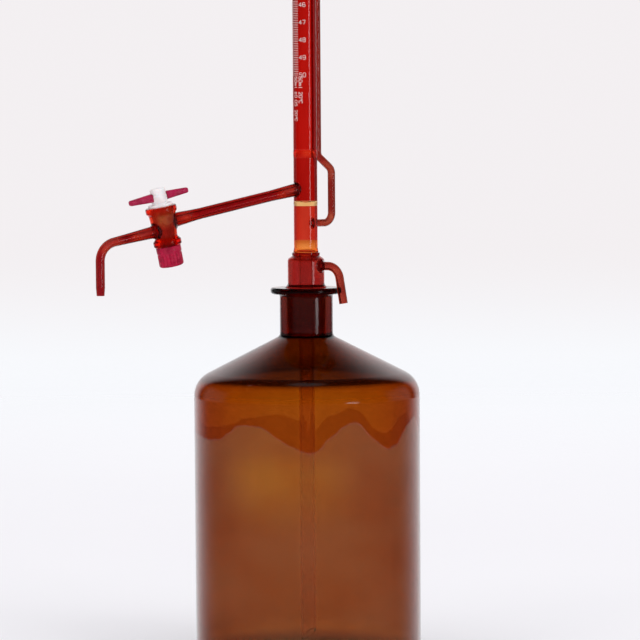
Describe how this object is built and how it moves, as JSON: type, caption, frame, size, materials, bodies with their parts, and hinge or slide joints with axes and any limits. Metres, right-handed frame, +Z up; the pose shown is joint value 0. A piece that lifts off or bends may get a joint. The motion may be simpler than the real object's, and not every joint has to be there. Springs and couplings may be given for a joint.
{
  "type": "automatic burette",
  "caption": "Amber automatic-zero burette with a side filling tube and an inclined delivery tap, standing by a ground joint on an amber reservoir bottle.",
  "frame": {"origin": "centre of the bottle's flat foot ring, on the bench", "axes": "+Z up along the burette; the delivery arm and tap point along -X; the filling tube is on the +X side"},
  "size_m": [0.2015, 0.133, 0.9575],
  "materials": {
    "bottle_glass": "clear amber",
    "amber_glass": "clear red-amber stain",
    "plain_glass": "clear, lightly stained",
    "ground_glass": "frosted",
    "white_plastic": "satin",
    "pink_plastic": "gloss",
    "seal_rubber": "matte"
  },
  "bodies": {
    "bottle": {"reservoir_bottle": "bottle_glass"},
    "burette": {"ground_cone": "ground_glass", "air_chamber": "amber_glass", "air_inlet": "amber_glass", "dip_tube": "amber_glass", "support_tube": "amber_glass", "tube_floor": "plain_glass", "tap_section": "amber_glass", "measuring_tube": "amber_glass", "feed_loop": "amber_glass", "feed_riser": "amber_glass", "riser_bridges": "amber_glass", "zero_head": "amber_glass", "zero_siphon": "amber_glass", "delivery_arm": "amber_glass", "stopcock_barrel": "amber_glass", "outlet_jet": "amber_glass"},
    "key": {"stopcock_plug": "white_plastic", "grip_inner": "pink_plastic", "grip_outer": "pink_plastic", "thrust_washer": "white_plastic", "o_ring": "seal_rubber"},
    "nut": {"retaining_nut": "pink_plastic"},
    "stopper": {"vent_stopper": "amber_glass"}
  },
  "joints": [
    {"name": "burette_lift", "type": "slide", "parent": "bottle", "child": "burette", "axis": [0, 0, 1], "range_m": [0, 0.25]},
    {"name": "key_turn", "type": "hinge", "parent": "burette", "child": "key", "pos_m": [-0.0919, 0, 0.26], "axis": [-0.1994, 0, 0.9799], "continuous": true},
    {"name": "nut_turn", "type": "hinge", "parent": "key", "child": "nut", "pos_m": [-0.0919, 0, 0.26], "axis": [-0.1994, 0, 0.9799], "continuous": true},
    {"name": "stopper_lift", "type": "slide", "parent": "burette", "child": "stopper", "axis": [0, 0, 1], "range_m": [0, 0.04]}
  ]
}
